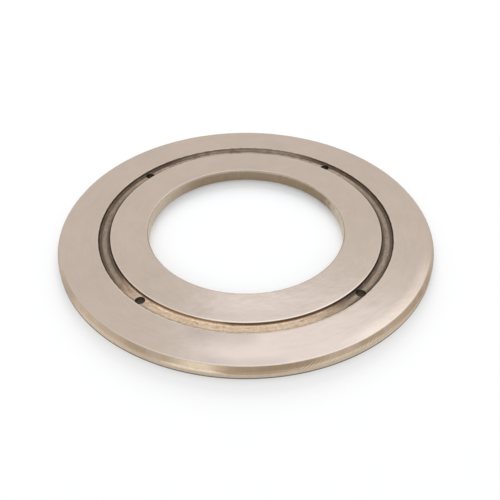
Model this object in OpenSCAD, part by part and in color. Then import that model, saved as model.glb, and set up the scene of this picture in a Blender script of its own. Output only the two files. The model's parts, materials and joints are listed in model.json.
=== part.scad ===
// Thrust washer: a flat ring turned in one piece from bronze.
// Its upper thrust face carries a flat-bottomed oil groove, and oil holes run from the groove's floor
// to the lower face. The ring lies on its lower face: the bore's axis is Z, and the origin is where
// that axis meets the plane of the lower face.

/* [Ring] */
// Outside diameter of the ring
ring_d = 150; // [125:0.5:220]
// Diameter of the bore
bore_d = 79; // [40:0.5:102]
// Thickness from the lower face to the upper face
thickness = 5; // [3.5:0.1:12]

/* [Edges] */
// Radial width of the bevel round the top of the rim
rim_bevel_w = 1.5; // [0.5:0.1:6]
// Height of the bevel round the top of the rim
rim_bevel_h = 1.75; // [0.5:0.05:4]
// Edge break round the bottom of the rim, at 45 degrees
rim_foot_break = 0.4; // [0.1:0.1:1.5]
// Chamfer round the top of the bore, at 45 degrees
bore_chamfer = 0.7; // [0.1:0.1:2]
// Edge break round the bottom of the bore, at 45 degrees
bore_foot_break = 0.3; // [0.1:0.1:1.5]

/* [Oil groove] */
// Diameter of the groove's centre line
groove_d = 113.6; // [88:0.2:140]
// Width of the groove at the upper face
groove_w = 4.7; // [3:0.1:12]
// Depth of the groove below the upper face
groove_depth = 1.2; // [0.4:0.1:4]
// Lean of each wall of the groove, outwards from upright, in degrees
groove_lean = 15; // [0:1:35]
// Radius of the corner between each wall and the floor of the groove
groove_corner_r = 0.8; // [0.1:0.1:1]

/* [Oil holes] */
// Diameter of each oil hole
oil_hole_d = 3.7; // [1.5:0.1:8]
// Number of oil holes
oil_hole_count = 4; // [1:1:4]
// Angle of the first oil hole from the X axis
oil_hole_first = 50.5; // [0:0.5:360]
// Angle stepped off from each oil hole to the next, with the last gap taking what is left of the turn
oil_hole_step = 88.8; // [20:0.1:90]

/* [Hidden] */
bronze = [0.77, 0.70, 0.64];
$fn = 240;
// How far a cut runs on into the air
overrun = 1;

ring_r = ring_d / 2;
bore_r = bore_d / 2;
groove_r = groove_d / 2;
groove_floor_z = thickness - groove_depth;
// Half the width of the groove's floor between its two rounded corners
groove_flat_half_w = groove_w / 2 - (groove_depth - groove_corner_r) * tan(groove_lean)
    - groove_corner_r / cos(groove_lean);

// Half section of the plain ring, from the bore on the left to the rim on the right
module ring_section() {
    polygon([
        [bore_r + bore_foot_break, 0],
        [ring_r - rim_foot_break, 0],
        [ring_r, rim_foot_break],
        [ring_r, thickness - rim_bevel_h],
        [ring_r - rim_bevel_w, thickness],
        [bore_r + bore_chamfer, thickness],
        [bore_r, thickness - bore_chamfer],
        [bore_r, bore_foot_break],
    ]);
}

// What the grooving tool takes out: a flat floor, two leaning walls that run on into the air, and a round
// corner that is tangent to floor and wall on each side
module groove_section() {
    corner_x = groove_flat_half_w;
    wall_x = corner_x + groove_corner_r * cos(groove_lean);
    wall_z = groove_corner_r * (1 - sin(groove_lean));
    mouth_x = groove_w / 2 + overrun * tan(groove_lean);
    mouth_z = groove_depth + overrun;
    translate([groove_r, groove_floor_z]) {
        polygon([
            [-corner_x, 0],
            [corner_x, 0],
            [wall_x, wall_z],
            [mouth_x, mouth_z],
            [-mouth_x, mouth_z],
            [-wall_x, wall_z],
        ]);
        for (side = [-1, 1])
            translate([side * corner_x, groove_corner_r]) circle(r = groove_corner_r);
    }
}

// The oil holes, stepped round the groove's centre line
module oil_holes() {
    for (i = [0 : oil_hole_count - 1])
        rotate([0, 0, oil_hole_first + i * oil_hole_step])
            translate([groove_r, 0, -overrun])
                cylinder(d = oil_hole_d, h = thickness + 2 * overrun);
}

module thrust_washer() {
    color(bronze)
        difference() {
            rotate_extrude() ring_section();
            rotate_extrude() groove_section();
            oil_holes();
        }
}

thrust_washer();
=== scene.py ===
import json
import math
from collections import namedtuple

import bmesh
import bpy
from mathutils import Matrix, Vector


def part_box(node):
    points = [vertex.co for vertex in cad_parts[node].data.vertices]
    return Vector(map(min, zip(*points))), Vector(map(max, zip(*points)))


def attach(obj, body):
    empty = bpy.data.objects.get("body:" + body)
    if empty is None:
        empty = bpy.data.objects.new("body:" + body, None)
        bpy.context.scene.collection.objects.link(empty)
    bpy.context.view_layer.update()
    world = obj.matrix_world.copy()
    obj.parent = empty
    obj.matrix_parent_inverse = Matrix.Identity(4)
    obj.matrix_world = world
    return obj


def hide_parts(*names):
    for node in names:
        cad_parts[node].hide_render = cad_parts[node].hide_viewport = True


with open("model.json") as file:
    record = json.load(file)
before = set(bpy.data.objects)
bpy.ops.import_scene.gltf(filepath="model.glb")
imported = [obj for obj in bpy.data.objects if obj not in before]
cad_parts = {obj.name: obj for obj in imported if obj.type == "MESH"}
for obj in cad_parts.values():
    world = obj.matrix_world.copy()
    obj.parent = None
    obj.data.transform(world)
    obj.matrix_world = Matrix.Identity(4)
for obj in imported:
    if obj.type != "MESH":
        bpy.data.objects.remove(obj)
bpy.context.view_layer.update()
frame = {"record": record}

# Sizes of the washer, in metres: the ring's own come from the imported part
MM = 0.001
low_corner, high_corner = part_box("thrust_washer")
mounts = {mount["name"]: mount for mount in frame["record"]["mounts"]}
thickness = high_corner.z
inside_gap = 0.004 * MM
ring_r = min(high_corner.x, high_corner.y, -low_corner.x, -low_corner.y) - inside_gap
bore_r = mounts["bore"]["dims"]["r_mm"] * MM
rim_bevel_w = 1.5 * MM
rim_bevel_h = 1.75 * MM
rim_foot_break = 0.4 * MM
bore_chamfer = 0.7 * MM
bore_foot_break = 0.3 * MM
groove_r = 56.8 * MM
groove_half_w = 2.35 * MM
groove_depth = 1.2 * MM
groove_lean = math.radians(15)
groove_corner_r = 0.8 * MM
oil_hole_r = 1.85 * MM
oil_hole_break = 0.1 * MM
oil_hole_count = 4
oil_hole_first = 50.5
oil_hole_step = 88.8

# Where the groove's walls would meet its floor, before their corners are rounded
groove_floor_z = thickness - groove_depth
groove_foot_half_w = groove_half_w - groove_depth * math.tan(groove_lean)
groove_corner_back = groove_corner_r * math.tan((math.pi / 2 - groove_lean) / 2)

# The edges of the upper face, and the top of the rim's straight wall
face_inner_r = bore_r + bore_chamfer
face_outer_r = ring_r - rim_bevel_w
wall_top_z = thickness - rim_bevel_h

# How far deburring and wear round each edge
groove_lip_round = 0.18 * MM
face_rim_round = 0.28 * MM
wall_top_round = 0.5 * MM
face_bore_round = 0.2 * MM
bore_top_round = 0.15 * MM
foot_round = 0.08 * MM

# How finely the ring is turned and smoothed
ring_steps = 480
groove_corner_steps = 10
hole_sides = 64
edge_steps = 3
same_place = 0.002 * MM
sharp_angle = math.radians(32)
flat_weight = 90


# The washer's mesh

def draw_section(bm):
    """Draws the ring's half section as a closed line, round from the groove's inner lip to its floor."""
    corners = [
        (groove_r - groove_half_w, thickness),
        (face_inner_r, thickness),
        (bore_r, thickness - bore_chamfer),
        (bore_r, bore_foot_break),
        (bore_r + bore_foot_break, 0.0),
        (ring_r - rim_foot_break, 0.0),
        (ring_r, rim_foot_break),
        (ring_r, wall_top_z),
        (face_outer_r, thickness),
        (groove_r + groove_half_w, thickness),
        (groove_r + groove_foot_half_w, groove_floor_z),
        (groove_r - groove_foot_half_w, groove_floor_z),
    ]
    line = [bm.verts.new((r, 0.0, z)) for r, z in corners]
    for start, end in zip(line, line[1:] + line[:1]):
        bm.edges.new((start, end))


def spin_round(bm, line, steps):
    """Turns a drawn line right round the Z axis."""
    bmesh.ops.spin(
        bm, geom=line, cent=(0.0, 0.0, 0.0), axis=(0.0, 0.0, 1.0),
        angle=2 * math.pi, steps=steps, use_merge=True,
    )


def close_up(bm):
    """Joins the points that meet, and turns every face outwards."""
    bmesh.ops.remove_doubles(bm, verts=bm.verts, dist=same_place)
    bmesh.ops.recalc_face_normals(bm, faces=bm.faces)


def put_in_scene(name, bm):
    """Makes an object of a finished mesh."""
    mesh = bpy.data.meshes.new(name)
    bm.to_mesh(mesh)
    bm.free()
    made = bpy.data.objects.new(name, mesh)
    bpy.context.scene.collection.objects.link(made)
    return made


def round_edge(bm, r, z, size, steps=edge_steps):
    """Rounds off the edge that runs round the ring at radius r and height z."""
    def on_edge(vert):
        return abs(vert.co.xy.length - r) < same_place and abs(vert.co.z - z) < same_place

    ring = [edge for edge in bm.edges if all(on_edge(vert) for vert in edge.verts)]
    bmesh.ops.bevel(
        bm, geom=ring, offset=size, offset_type="OFFSET", segments=steps, profile=0.5,
        affect="EDGES", material=-1, clamp_overlap=True,
    )


def round_edges(bm):
    """Rounds the groove's corners as its tool does, and each edge as far as deburring and wear leave it."""
    for side in (-1, 1):
        corner_r = groove_r + side * groove_foot_half_w
        round_edge(bm, corner_r, groove_floor_z, groove_corner_back, groove_corner_steps)
        round_edge(bm, groove_r + side * groove_half_w, thickness, groove_lip_round)
    for r, z, size in (
        (face_outer_r, thickness, face_rim_round),
        (ring_r, wall_top_z, wall_top_round),
        (face_inner_r, thickness, face_bore_round),
        (bore_r, thickness - bore_chamfer, bore_top_round),
        (ring_r, rim_foot_break, foot_round),
        (bore_r, bore_foot_break, foot_round),
        (ring_r - rim_foot_break, 0.0, foot_round),
        (bore_r + bore_foot_break, 0.0, foot_round),
    ):
        round_edge(bm, r, z, size)


def draw_drill(bm, angle):
    """One drill that stands in the groove, with the shoulder that breaks the edge of the hole's mouth."""
    mouth_r = oil_hole_r + oil_hole_break
    knee = 0.3 * oil_hole_break
    outline = [
        (0.0, -thickness),
        (oil_hole_r, -thickness),
        (oil_hole_r, groove_floor_z - oil_hole_break),
        (oil_hole_r + knee, groove_floor_z - knee),
        (mouth_r, groove_floor_z),
        (mouth_r, 2 * thickness),
        (0.0, 2 * thickness),
    ]
    line = [bm.verts.new((r, 0.0, z)) for r, z in outline]
    edges = [bm.edges.new(pair) for pair in zip(line, line[1:])]
    before = set(bm.verts) - set(line)
    spin_round(bm, line + edges, hole_sides)
    drill = [vert for vert in bm.verts if vert not in before]
    place = Matrix.Rotation(math.radians(angle), 4, "Z") @ Matrix.Translation((groove_r, 0.0, 0.0))
    bmesh.ops.transform(bm, matrix=place, verts=drill)


def oil_drills():
    """The drills that cut the oil holes."""
    bm = bmesh.new()
    for step in range(oil_hole_count):
        draw_drill(bm, oil_hole_first + oil_hole_step * step)
    close_up(bm)
    return put_in_scene("oil_drills", bm)


def drill_oil_holes(washer):
    """Cuts the oil holes and leaves the cut mesh in the washer."""
    drills = oil_drills()
    cut = washer.modifiers.new("oil_holes", "BOOLEAN")
    cut.operation = "DIFFERENCE"
    cut.solver = "EXACT"
    cut.object = drills
    bpy.context.view_layer.update()
    seen = washer.evaluated_get(bpy.context.evaluated_depsgraph_get())
    drilled = bpy.data.meshes.new_from_object(seen)
    washer.modifiers.clear()
    washer.data = drilled
    bpy.data.objects.remove(drills)


def make_washer():
    """The whole ring as one piece, at the CAD node's own place."""
    bm = bmesh.new()
    draw_section(bm)
    spin_round(bm, bm.verts[:] + bm.edges[:], ring_steps)
    close_up(bm)
    round_edges(bm)
    washer = put_in_scene("washer_ring", bm)
    drill_oil_holes(washer)
    washer.data.shade_smooth()
    washer.data.set_sharp_from_angle(angle=sharp_angle)
    flats = washer.modifiers.new("flat_lands", "WEIGHTED_NORMAL")
    flats.keep_sharp = True
    flats.weight = flat_weight
    return washer


# Shader sums

class Value:
    """A shader socket that takes part in Python sums."""

    def __init__(self, sheet, socket):
        self.sheet = sheet
        self.socket = socket

    def sum(self, operation, first, second):
        return self.sheet.node("ShaderNodeMath", {"operation": operation}, {0: first, 1: second})

    def __add__(self, other):
        return self.sum("ADD", self, other)

    def __radd__(self, other):
        return self.sum("ADD", other, self)

    def __sub__(self, other):
        return self.sum("SUBTRACT", self, other)

    def __rsub__(self, other):
        return self.sum("SUBTRACT", other, self)

    def __mul__(self, other):
        return self.sum("MULTIPLY", self, other)

    def __rmul__(self, other):
        return self.sum("MULTIPLY", other, self)

    def __truediv__(self, other):
        return self.sum("DIVIDE", self, other)

    def __rtruediv__(self, other):
        return self.sum("DIVIDE", other, self)

    def __abs__(self):
        return self.sum("ABSOLUTE", self, 0.0)


class Sheet:
    """The node sheet of a material or of the world."""

    def __init__(self, owner):
        owner.use_nodes = True
        self.tree = owner.node_tree
        self.tree.nodes.clear()

    def node(self, kind, settings=None, sockets=None, out=0):
        """Any node: its type, its settings, and the values or links of its sockets."""
        made = self.tree.nodes.new(kind)
        for name, setting in (settings or {}).items():
            setattr(made, name, setting)
        for name, value in (sockets or {}).items():
            if isinstance(value, Value):
                self.tree.links.new(value.socket, made.inputs[name])
            else:
                made.inputs[name].default_value = value
        return Value(self, made.outputs[out]) if made.outputs else None

    def outputs(self, value):
        """Every output of the node that a value comes from, by name."""
        return {socket.name: Value(self, socket) for socket in value.socket.node.outputs}

    def rise(self, value, start, end):
        """A smooth step from 0 at start to 1 at end, which may be the lower of the two."""
        return self.node(
            "ShaderNodeMapRange", {"interpolation_type": "SMOOTHSTEP"},
            {"Value": value, "From Min": start, "From Max": end},
        )

    def mix(self, share, under, over):
        """One number laid over another by a share."""
        return self.node("ShaderNodeMix", {"data_type": "FLOAT"}, {0: share, 2: under, 3: over})

    def blend(self, share, under, over):
        """One colour laid over another by a share."""
        return self.node("ShaderNodeMix", {"data_type": "RGBA"}, {0: share, 6: under, 7: over}, out=2)

    def shade(self, colour, by):
        """A colour made lighter or darker by a factor."""
        vector = colour if isinstance(colour, Value) else colour[:3]
        return self.node("ShaderNodeVectorMath", {"operation": "SCALE"}, {0: vector, "Scale": by})

    def noise(self, vector, scale, detail=2.0):
        """Cloudy noise between 0 and 1, with so many patches to a unit of the vector."""
        return self.node(
            "ShaderNodeTexNoise", {"noise_dimensions": "3D"},
            {"Vector": vector, "Scale": scale, "Detail": detail},
        )


# The bronze and its finishes, with places in millimetres

top_mm = thickness / MM
wall_top_mm = wall_top_z / MM
chamfer_foot_mm = (thickness - bore_chamfer) / MM
groove_floor_mm = groove_floor_z / MM
rim_mm = ring_r / MM
face_outer_mm = face_outer_r / MM
face_inner_mm = face_inner_r / MM
groove_mm = groove_r / MM
groove_half_mm = groove_half_w / MM

# The slanting strokes on the rim: their spacing, slant and climb, and the turns where they set in and fade
stroke_pitch = 1.75
stroke_slant = 2.1
stroke_climb = 1.1
stroke_begin = (math.radians(-86), math.radians(-70))
stroke_end = (math.radians(-46), math.radians(-58))

Place = namedtuple("Place", "point z radius cosine sine turn")
Finish = namedtuple("Finish", "colour roughness height")

# A stretch of the ring: its direction from the axis in degrees, with the right at 0 and the front at 270,
# and the cosines of the angles off that direction where it sets in and where it is full
Stretch = namedtuple("Stretch", "degrees start full")
# Painted highlight on the upper face by the rim, and painted shade on both lands at the front
land_highlight = Stretch(321, 0.885, 0.985)
land_shade_front = Stretch(262, 0.968, 0.994)
land_shade_by_rim = Stretch(269, 0.972, 0.992)
inner_land_shade = Stretch(275, 0.86, 0.98)
# Painted shade on the bevel at the front, a lighter patch at 225°, painted highlights at 240°, 293° and
# 304°, and painted sheen round 212°
bevel_shade_front = Stretch(275, 0.960, 0.988)
lighter_bevel_left = Stretch(225, 0.968, 0.996)
bevel_highlight_right = Stretch(304, 0.940, 0.985)
bevel_highlight_front_left = Stretch(240, 0.980, 0.998)
bevel_highlight_front_right = Stretch(293, 0.990, 0.999)
pale_bevel = Stretch(212, 0.88, 0.97)
# A painted highlight on the rim's wall at 257°
wall_highlight = Stretch(257, 0.985, 0.998)
# The wall's tone, with its painted highlight, climbs the bevel round 256°
high_wall = Stretch(256, 0.985, 0.997)
low_wall_left = Stretch(239, 0.980, 0.996)
low_wall_right = Stretch(275, 0.972, 0.994)
pale_groove_wall = Stretch(248, 0.950, 0.985)
# Edges that wear bare, with a painted highlight most of all at the front
lip_wear_and_highlight = Stretch(270, 0.30, 0.85)
rim_edge_wear_and_highlight = Stretch(285, 0.45, 0.92)
wiped_groove_at = 260.5

LAND_BRONZE = (0.546, 0.456, 0.386, 1.0)
BURNISHED_BRONZE = (0.760, 0.665, 0.585, 1.0)
BEVEL_OLIVE = (0.450, 0.342, 0.234, 1.0)
BEVEL_ROSE = (0.510, 0.395, 0.300, 1.0)
# A browner tone that paints shade on the bevel at the front
BEVEL_BROWN = (0.440, 0.300, 0.190, 1.0)
RIM_BRONZE = (0.640, 0.530, 0.415, 1.0)
SCRAPED_BRONZE = (0.740, 0.620, 0.430, 1.0)
# Grime, and a painted contact shadow, at the foot of the rim
FOOT_GRIME_AND_SHADOW = (0.205, 0.188, 0.165, 1.0)
CHAMFER_BRONZE = (0.520, 0.435, 0.345, 1.0)
BORE_BRONZE = (0.310, 0.236, 0.160, 1.0)
# The paler tone that paints a reflection round the bore's sides
BORE_PALE = (0.670, 0.570, 0.450, 1.0)
GROOVE_COPPER = (0.560, 0.424, 0.292, 1.0)
GROOVE_ROSE = (0.640, 0.490, 0.362, 1.0)
# The dark brown that paints shade on the groove's walls
GROOVE_WALL_SHADE = (0.240, 0.162, 0.100, 1.0)
GROOVE_GRIME = (0.285, 0.226, 0.170, 1.0)
BROWN_OIL = (0.255, 0.172, 0.114, 1.0)
CORNER_DARK_BROWN = (0.105, 0.079, 0.058, 1.0)
RUSTY_OIL = (0.190, 0.124, 0.092, 1.0)
DRY_OIL = (0.290, 0.243, 0.205, 1.0)
HOLE_DARK = (0.120, 0.103, 0.078, 1.0)
EDGE_TINT = (0.880, 0.845, 0.810, 1.0)
RIM_TINT = (0.740, 0.668, 0.604, 1.0)


def washer_place(s):
    """Where a point lies on the washer: its height, its distance from the axis and its direction from it."""
    own = s.node("ShaderNodeTexCoord", out=3)
    point = s.node("ShaderNodeVectorMath", {"operation": "SCALE"}, {0: own, "Scale": 1 / MM})
    x, y, z = s.outputs(s.node("ShaderNodeSeparateXYZ", {}, {0: point})).values()
    flat = s.node("ShaderNodeCombineXYZ", {}, {0: x, 1: y})
    radius = s.node("ShaderNodeVectorMath", {"operation": "LENGTH"}, {0: flat}, out=1)
    turn = s.node("ShaderNodeMath", {"operation": "ARCTAN2"}, {0: y, 1: x})
    return Place(point, z, radius, x / radius, y / radius, turn)


def towards(at, degrees):
    """How nearly a point lies in a direction from the axis: 1 right in it, and -1 opposite."""
    return at.cosine * math.cos(math.radians(degrees)) + at.sine * math.sin(math.radians(degrees))


def within(s, at, stretch):
    """1 within a stretch of the ring, and 0 away from it."""
    return s.rise(towards(at, stretch.degrees), stretch.start, stretch.full)


def round_marks(s, at, across, along, detail=2.0):
    """Noise drawn out round the axis, as a turning tool or a lap leaves it."""
    drawn = s.node(
        "ShaderNodeCombineXYZ", {}, {0: at.radius * across, 1: at.cosine * along, 2: at.sine * along},
    )
    return s.noise(drawn, 1.0, detail)


def cross_marks(s, at, per_mm, detail=2.0):
    """Noise drawn out across the rim, as handling and filing leave it."""
    turns = rim_mm * per_mm
    drawn = s.node(
        "ShaderNodeCombineXYZ", {}, {0: at.cosine * turns, 1: at.sine * turns, 2: at.z * (0.25 * per_mm)},
    )
    return s.noise(drawn, 1.0, detail)


def lay(s, share, under, over):
    """One finish laid over another by a share."""
    return Finish(
        s.blend(share, under.colour, over.colour),
        s.mix(share, under.roughness, over.roughness),
        s.mix(share, under.height, over.height),
    )


def land_finish(s, at):
    """The lapped faces: pale satin bronze, a little wavy, with faint streaks round the axis."""
    streaks = round_marks(s, at, 2.0, 13.0, 3.0)
    waves = round_marks(s, at, 0.20, 7.0)
    clouds = s.noise(at.point, 0.05, 3.0)
    light = 0.83 + 0.10 * streaks + 0.10 * waves + 0.14 * clouds

    # On the upper face: a painted highlight by the rim on the right, and painted shade at the front
    by_rim = s.rise(at.radius, face_outer_mm - 5.0, face_outer_mm - 1.0)
    outside = s.rise(at.radius, groove_mm, groove_mm + 1.0)
    outside = outside * s.rise(at.radius, groove_mm + 11.0, groove_mm + 3.5)
    inside = s.rise(at.radius, groove_mm - 10.0, groove_mm - 4.5)
    inside = inside * s.rise(at.radius, groove_mm - 1.0, groove_mm - 2.4)
    bright = 0.24 * by_rim * within(s, at, land_highlight)
    painted_shade = 0.17 * outside * within(s, at, land_shade_front)
    painted_shade = painted_shade + 0.14 * by_rim * within(s, at, land_shade_by_rim)
    painted_shade = painted_shade + 0.10 * inside * within(s, at, inner_land_shade)
    upper = s.rise(at.z, top_mm - 1.0, top_mm - 0.1)
    light = light * (1.0 + upper * (bright - painted_shade))

    brushed = round_marks(s, at, 0.45, 12.0)
    height = 0.004 * streaks + 0.055 * waves + 0.030 * brushed
    return Finish(s.shade(LAND_BRONZE, light), 0.16 + 0.06 * streaks, height)


def burnished_finish(s, at):
    """Edges that rub: the bare metal, brighter and smoother than the faces."""
    rubs = s.noise(at.point, 0.5)
    colour = s.shade(BURNISHED_BRONZE, 0.85 + 0.30 * rubs)
    return Finish(colour, 0.16 + 0.08 * rubs, 0.002 * rubs)


def bevel_finish(s, at):
    """The rim's bevel: turned, olive brown with rosier patches, and short marks across it, with painted
    shade and painted highlights by direction round the rim, and painted sheen at its sides.
    """
    patches = s.noise(at.point, 0.16, 3.0)
    marks = cross_marks(s, at, 1.1, 3.0)
    colour = s.blend(s.rise(patches, 0.42, 0.66), BEVEL_OLIVE, BEVEL_ROSE)
    colour = s.blend(0.5 * within(s, at, bevel_shade_front), colour, BEVEL_BROWN)
    # Painted highlights and a lighter patch by direction, and painted shade towards the sides
    painted_tone = 1.0 + 0.36 * within(s, at, lighter_bevel_left) - 0.12 * s.rise(abs(at.cosine), 0.55, 0.85)
    painted_tone = painted_tone + 0.12 * within(s, at, bevel_highlight_right)
    painted_tone = painted_tone + 0.10 * within(s, at, bevel_highlight_front_left)
    painted_tone = painted_tone + 0.20 * within(s, at, bevel_highlight_front_right)
    colour = s.shade(colour, (0.90 + 0.20 * marks) * painted_tone)
    # Painted sheen where the bevel is seen from the side
    pale = 0.8 * s.rise(abs(at.cosine), 0.87, 0.98) + 0.4 * within(s, at, pale_bevel)
    colour = s.blend(pale, colour, LAND_BRONZE)
    return Finish(colour, 0.26 + 0.12 * marks, 0.008 * marks)


def wall_finish(s, at):
    """The rim's straight wall: paler than the bevel, with painted shade towards its sides, painted sheen on
    its flanks and a painted highlight at 257°.
    """
    mottle = s.noise(at.point, 0.6, 3.0)
    marks = cross_marks(s, at, 0.8)
    # Painted shade towards the sides, painted sheen on the flanks, and a painted highlight at 257°
    sides = s.rise(abs(at.cosine), 0.78, 0.98)
    flanks = s.rise(abs(at.cosine), 0.45, 0.70) * s.rise(abs(at.cosine), 0.88, 0.78)
    flanks = flanks * (1.0 - 0.9 * s.rise(at.cosine, 0.2, 0.5) * s.rise(at.z, 1.8, 2.6))
    spot = within(s, at, wall_highlight) * s.rise(at.z, 1.8, 3.2)
    light = 1.0 - sides * (0.22 - 0.14 * at.cosine) + 0.32 * flanks + 0.40 * spot
    colour = s.shade(RIM_BRONZE, (0.76 + 0.24 * mottle + 0.24 * marks) * light)
    return Finish(colour, 0.24 + 0.10 * mottle, 0.006 * marks)


def rim_strokes(s, at):
    """Slanting strokes along one stretch of the rim, where the wall's paler metal climbs the bevel."""
    along = at.turn * rim_mm + 0.8 * (s.noise(at.point, 0.8) - 0.5)
    slanted = (along - stroke_slant * at.z) * (2 * math.pi / stroke_pitch)
    wave = s.node("ShaderNodeMath", {"operation": "SINE"}, {0: slanted})
    begins = s.rise(at.turn, *stroke_begin)
    ends = s.rise(at.turn, *stroke_end)
    uneven = 0.60 + 0.40 * s.rise(s.noise(at.point, 0.35), 0.35, 0.60)
    return begins * ends * uneven * s.rise(wave, -0.1, 0.8)


def rim_finish(s, at):
    """The whole rim: the bevel, the wall's tone that climbs it unevenly, and the metal scraped bare."""
    strokes = rim_strokes(s, at)
    climb = stroke_climb * strokes + 0.35 * (s.noise(at.point, 0.8) - 0.5)
    # The wall's tone climbs higher round 256°, taking its painted highlight onto the bevel, and lower round
    # 239° and 275°
    climb = climb + 0.35 * within(s, at, high_wall) - 0.20 * within(s, at, low_wall_left)
    climb = climb - 0.50 * within(s, at, low_wall_right)
    wall = s.rise(at.z - climb, wall_top_mm + 0.15, wall_top_mm - 0.45)
    rim = lay(s, wall, bevel_finish(s, at), wall_finish(s, at))
    scraped = strokes * s.rise(abs(at.z - wall_top_mm + 0.2), 1.4, 0.5)
    return lay(s, 0.60 * scraped, rim, Finish(SCRAPED_BRONZE, 0.20, 0.0))


def bore_finish(s, at):
    """The bore's wall, brown at the back and paler round its sides as a painted reflection, below a chamfer
    as pale as the face.
    """
    mottle = s.noise(at.point, 0.4, 3.0)
    marks = cross_marks(s, at, 0.7)
    chamfer = s.rise(at.z, chamfer_foot_mm - 0.10, chamfer_foot_mm + 0.15)
    side = at.cosine + 0.12 * (mottle - 0.5)
    # A painted reflection: the wall paler round its sides
    pale = s.rise(side, 0.85, 0.99) + s.rise(side, -0.48, -1.10)
    colour = s.blend(pale, BORE_BRONZE, BORE_PALE)
    colour = s.blend(chamfer, colour, CHAMFER_BRONZE)
    colour = s.shade(colour, 0.70 + 0.32 * mottle + 0.28 * marks)
    return Finish(colour, 0.24 + 0.12 * marks, 0.004 * marks)


def groove_finish(s, at):
    """The oil groove: coppery where it was wiped, with painted shade on its walls and a painted highlight
    along its floor there, and elsewhere brown with old oil, darker towards its corners.
    """
    from_centre = at.radius - groove_mm
    stain = round_marks(s, at, 0.9, 9.0, 3.0)
    fine = s.noise(at.point, 1.1, 3.0)
    patches = round_marks(s, at, 1.0, 60.0, 3.0)
    smears = round_marks(s, at, 1.3, 28.0, 3.0)
    mottle = s.noise(at.point, 0.9, 3.0)
    front = towards(at, wiped_groove_at)
    wiped = s.rise(front + 0.22 * (stain - 0.5), 0.64, 0.92)

    # Dirt: a stripe along the middle of the floor, lighter where it wore, darker towards the corners, dried
    # grey at the back
    corners = s.rise(abs(from_centre) + 0.8 * (fine - 0.5), 0.45, 1.35)
    back = s.rise(at.sine, 0.78, 0.97)
    stripe = s.shade(GROOVE_GRIME, 1.0 + 0.7 * s.rise(at.sine, 0.25, 0.85))
    dirty = s.blend(corners, stripe, s.blend(back, CORNER_DARK_BROWN, DRY_OIL))
    clouds = s.noise(at.point, 0.22, 4.0)
    dirty = s.blend(0.6 * s.rise(clouds, 0.50, 0.68), dirty, RUSTY_OIL)
    dirty = s.blend(0.45 * s.rise(mottle, 0.52, 0.66), dirty, RUSTY_OIL)
    dirty = s.blend(0.7 * s.rise(front, 0.58, 0.76), dirty, BROWN_OIL)
    streaks = round_marks(s, at, 3.2, 18.0, 3.0)
    dirty = s.shade(dirty, 0.55 + 0.90 * streaks)

    # Wiped metal: copper with rosy patches and a painted highlight along the floor's inner side, painted
    # shade on the walls, and darker along the outer lip
    walls = s.rise(at.z, groove_floor_mm - 0.05, groove_floor_mm + 0.36)
    # A painted highlight along the inner side of the floor
    floor_highlight = s.rise(from_centre, -0.85, -1.45)
    by_lip = s.rise(from_centre + 0.6 * (fine - 0.5), 0.60, 1.20)
    copper = s.blend(s.rise(patches, 0.42, 0.62), GROOVE_COPPER, GROOVE_ROSE)
    copper = s.shade(copper, 1.0 + 0.42 * floor_highlight - 0.28 * by_lip)
    copper = s.blend(0.5 * s.rise(smears, 0.54, 0.70), copper, BROWN_OIL)
    # Painted shade on the walls, lighter round 248° and towards the lips
    brown = s.shade(GROOVE_WALL_SHADE, 1.0 + 0.8 * within(s, at, pale_groove_wall))
    high = s.rise(at.z, groove_floor_mm + 0.62, groove_floor_mm + 1.05)
    brown = s.blend(0.4 * high, brown, GROOVE_COPPER)
    clean = s.blend(walls, copper, brown)

    colour = s.blend(wiped, dirty, clean)
    colour = s.shade(colour, 0.53 + 0.44 * stain + 0.52 * fine)
    return Finish(colour, 0.28 + 0.18 * fine, 0.010 * fine)


def lip_grime(s, at):
    """Brown oil that dried along the groove's outer lip."""
    fine = s.noise(at.point, 1.1, 3.0)
    colour = s.shade(BROWN_OIL, 0.7 + 0.6 * fine)
    return Finish(colour, 0.35 + 0.15 * fine, 0.004 * fine)


def hole_finish(s, at):
    """The oil holes' walls: drilled, and dark."""
    rings = s.noise(at.point, 1.4)
    colour = s.shade(HOLE_DARK, 0.7 + 0.6 * rings)
    return Finish(colour, 0.4 + 0.1 * rings, 0.004 * rings)


def edge_wear_and_highlight(s, at):
    """How far the edges of the upper face wear bare, and where a painted highlight lies along them, most of
    all at the front.
    """
    off_centre = abs(at.radius - groove_mm)
    lips = s.rise(abs(off_centre - groove_half_mm), 0.70, 0.10) * (0.32 + 0.76 * within(s, at, lip_wear_and_highlight))
    rim_edge = s.rise(abs(at.radius - face_outer_mm), 0.54, 0.08)
    rim_edge = rim_edge * (0.10 + 0.82 * within(s, at, rim_edge_wear_and_highlight))
    bore_edge = s.rise(abs(at.radius - face_inner_mm), 0.22, 0.06)
    return (lips + rim_edge + 0.4 * bore_edge) * s.rise(at.z, top_mm - 0.22, top_mm - 0.08)


def lay_groove(s, at, whole):
    """Lays the groove, the oil dried along its outer lip and the holes in its floor over the rest."""
    off_centre = abs(at.radius - groove_mm)
    below_face = s.rise(at.z, top_mm - 0.04, top_mm - 0.16) * s.rise(at.z, 0.02, 0.10)
    groove = s.rise(off_centre, groove_half_mm + 0.05, groove_half_mm - 0.03) * below_face
    whole = lay(s, groove, whole, groove_finish(s, at))
    outer_lip = s.rise(abs(at.radius - groove_mm - groove_half_mm), 0.30, 0.08)
    outer_lip = outer_lip * s.rise(at.z, top_mm - 0.5, top_mm - 0.3)
    grime = outer_lip * s.rise(round_marks(s, at, 0.9, 30.0, 3.0), 0.38, 0.60)
    whole = lay(s, 0.8 * grime, whole, lip_grime(s, at))
    hole = groove * s.rise(at.z, groove_floor_mm - 0.06, groove_floor_mm - 0.25)
    return lay(s, hole, whole, hole_finish(s, at))


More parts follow.
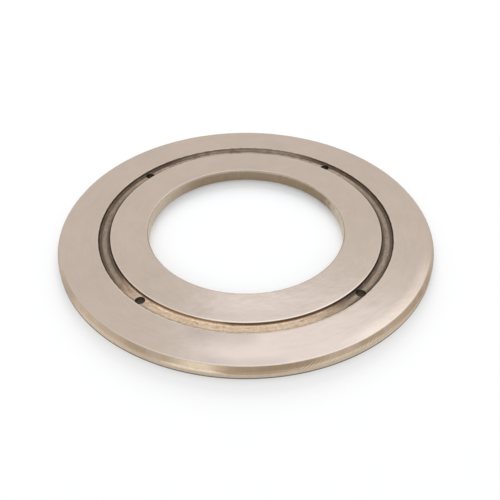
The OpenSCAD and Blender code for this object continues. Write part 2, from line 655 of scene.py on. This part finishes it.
def metal(s, finish, bump, tint):
    """Metal with a finish, and with the tint that it takes where it is seen edge on."""
    return s.node(
        "ShaderNodeBsdfPrincipled", {},
        {
            "Base Color": finish.colour, "Metallic": 1.0, "Roughness": finish.roughness, "Normal": bump,
            "Specular Tint": tint,
        },
    )


def bronze():
    """The washer's bronze, with the finish of each of its surfaces."""
    material = bpy.data.materials.new("bronze")
    s = Sheet(material)
    at = washer_place(s)
    off_floor = s.rise(at.z, 0.0, 0.06)
    past_face = s.rise(at.radius, face_outer_mm - 0.02, face_outer_mm + 0.14) * off_floor
    inside_face = s.rise(at.radius, face_inner_mm + 0.02, face_inner_mm - 0.14) * off_floor
    whole = lay(s, past_face, land_finish(s, at), rim_finish(s, at))
    whole = lay(s, inside_face, whole, bore_finish(s, at))
    # Edges that wear bare, with a painted highlight along them
    whole = lay(s, 0.75 * edge_wear_and_highlight(s, at), whole, burnished_finish(s, at))
    whole = lay_groove(s, at, whole)

    # Low on the rim, the metal seen edge on is browner than it is on the faces
    bump = s.node("ShaderNodeBump", {}, {"Strength": 1.0, "Distance": MM, "Height": whole.height})
    low_rim = past_face * s.rise(at.z, top_mm - 0.5, top_mm - 1.3)
    faces = metal(s, whole, bump, EDGE_TINT)
    surface = s.node("ShaderNodeMixShader", {}, {0: low_rim, 1: faces, 2: metal(s, whole, bump, RIM_TINT)})

    # Grime and a painted contact shadow round the foot of the rim, standing higher towards its sides
    foot_band_top = 1.08 + 0.12 * s.rise(abs(at.cosine), 0.35, 0.75) + 0.2 * (s.noise(at.point, 0.6, 3.0) - 0.5)
    foot = past_face * s.rise(foot_band_top - at.z, 0.0, 0.2) * s.rise(at.z, 0.10, 0.40)
    foot_grime_and_shadow = s.node("ShaderNodeBsdfDiffuse", {}, {"Color": FOOT_GRIME_AND_SHADOW})
    surface = s.node("ShaderNodeMixShader", {}, {0: foot, 1: surface, 2: foot_grime_and_shadow})
    s.node("ShaderNodeOutputMaterial", {}, {"Surface": surface})
    return material


# The stage: floor, light and camera

floor_drop = 0.05 * MM
floor_half_w = 3.0
floor_glow = 0.46
floor_even_from = 0.25
floor_all_even = 0.9
FLOOR_WHITE = (0.83, 0.83, 0.83, 1.0)
WHITE = (1.0, 1.0, 1.0, 1.0)
DAYLIGHT = (0.74, 0.83, 1.0, 1.0)
CLEAR_SKY = (0.76, 0.89, 1.0, 1.0)

studio_front = 0.66
studio_behind = 0.98
studio_overhead = 1.05
studio_horizon = 0.95

camera_lens = 46.52
camera_sensor = 36.0
camera_pitch = math.radians(40.281)
camera_yaw = math.radians(0.448)
camera_roll = math.radians(0.194)
camera_place = (0.0, -206.9 * MM, 166.8 * MM)


def white_floor():
    """A white floor that keeps the washer's shadow, with a painted glow for the camera: none inside the
    bore, part of it round the washer, and full white far off.
    """
    bm = bmesh.new()
    bmesh.ops.create_grid(bm, x_segments=1, y_segments=1, size=floor_half_w)
    bmesh.ops.translate(bm, verts=bm.verts, vec=(0.0, 0.0, -floor_drop))
    floor = put_in_scene("floor", bm)
    material = bpy.data.materials.new("white_floor")
    s = Sheet(material)
    rays = s.outputs(s.node("ShaderNodeLightPath"))
    point = s.node("ShaderNodeTexCoord", out=3)
    from_axis = s.node("ShaderNodeVectorMath", {"operation": "LENGTH"}, {0: point}, out=1)
    # Painted glow for the camera: none inside the bore, so its shadow shows deeper there
    seen = rays["Is Camera Ray"] * s.rise(from_axis, bore_r, ring_r)
    seen = seen + rays["Is Glossy Ray"] + rays["Is Transmission Ray"]
    paint = s.node("ShaderNodeBsdfDiffuse", {}, {"Color": FLOOR_WHITE})
    glow = s.node("ShaderNodeEmission", {}, {"Color": WHITE, "Strength": 1.0})
    share = s.mix(s.rise(from_axis, floor_even_from, floor_all_even), floor_glow, 1.0)
    both = s.node("ShaderNodeMixShader", {}, {0: seen * share, 1: paint, 2: glow})
    s.node("ShaderNodeOutputMaterial", {}, {"Surface": both})
    floor.data.materials.append(material)


def studio_world():
    """A pale studio: white at the horizon, lighter behind the washer and overhead than in front of it."""
    world = bpy.data.worlds.new("studio")
    bpy.context.scene.world = world
    s = Sheet(world)
    sight = s.outputs(s.node("ShaderNodeSeparateXYZ", {}, {0: s.node("ShaderNodeTexCoord")}))
    level = s.mix(s.rise(sight["Y"], -0.45, 0.30), studio_front, studio_behind)
    level = s.mix(s.rise(sight["Z"], 0.79, 0.94), level, studio_overhead)
    level = s.mix(s.rise(sight["Z"], 0.36, 0.12), level, studio_horizon)
    seen = s.outputs(s.node("ShaderNodeLightPath"))["Is Camera Ray"]
    light = s.node("ShaderNodeBackground", {}, {"Color": WHITE, "Strength": s.mix(seen, level, 1.0)})
    s.node("ShaderNodeOutputWorld", {}, {"Surface": light})


def softbox(name, azimuth, elevation, distance, size, radiance, shift=(0.0, 0.0), roll=0.0, colour=WHITE):
    """An even area lamp that faces the washer, with its azimuth from the back towards the right."""
    lamp = bpy.data.lights.new(name, "AREA")
    lamp.shape = "RECTANGLE"
    lamp.size, lamp.size_y = size
    lamp.energy = radiance * math.pi * size[0] * size[1]
    lamp.color = colour[:3]
    box = bpy.data.objects.new(name, lamp)
    bpy.context.scene.collection.objects.link(box)
    aside = Matrix.Rotation(math.radians(-azimuth), 4, "Z")
    lean = Matrix.Rotation(math.radians(elevation - 90), 4, "X")
    stand = Matrix.Translation((shift[0], shift[1], distance))
    box.matrix_world = aside @ lean @ stand @ Matrix.Rotation(math.radians(roll), 4, "Z")
    return box


def studio_lamps():
    """A cool softbox behind the washer, a small one by the camera, and a key that no reflection shows."""
    softbox(
        "back_softbox", azimuth=0.0, elevation=55.0, distance=1.0, size=(0.56, 0.50), radiance=0.695,
        shift=(0.160, -0.105), roll=-10.0, colour=DAYLIGHT,
    )
    softbox(
        "front_softbox", azimuth=205.5, elevation=28.0, distance=1.2, size=(0.34, 0.30), radiance=3.2,
        colour=CLEAR_SKY,
    )
    key = softbox("floor_key", azimuth=0.0, elevation=28.0, distance=3.0, size=(1.7, 1.3), radiance=8.0)
    key.visible_glossy = False


def photo_camera():
    """The camera at the photograph's viewing angle."""
    lens = bpy.data.cameras.new("camera")
    lens.lens = camera_lens
    lens.sensor_width = camera_sensor
    lens.clip_start = 0.01
    lens.clip_end = 20.0
    camera = bpy.data.objects.new("camera", lens)
    bpy.context.scene.collection.objects.link(camera)
    level = Matrix.Rotation(-camera_yaw, 4, "Z") @ Matrix.Rotation(math.pi / 2 - camera_pitch, 4, "X")
    stand = Matrix.Translation(camera_place)
    camera.matrix_world = stand @ level @ Matrix.Rotation(camera_roll, 4, "Z")
    bpy.context.scene.camera = camera


washer = make_washer()
washer.data.materials.clear()
washer.data.materials.append(bronze())
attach(washer, "root")
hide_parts("thrust_washer")

white_floor()
studio_world()
studio_lamps()
photo_camera()
bpy.context.scene.view_settings.view_transform = "Standard"
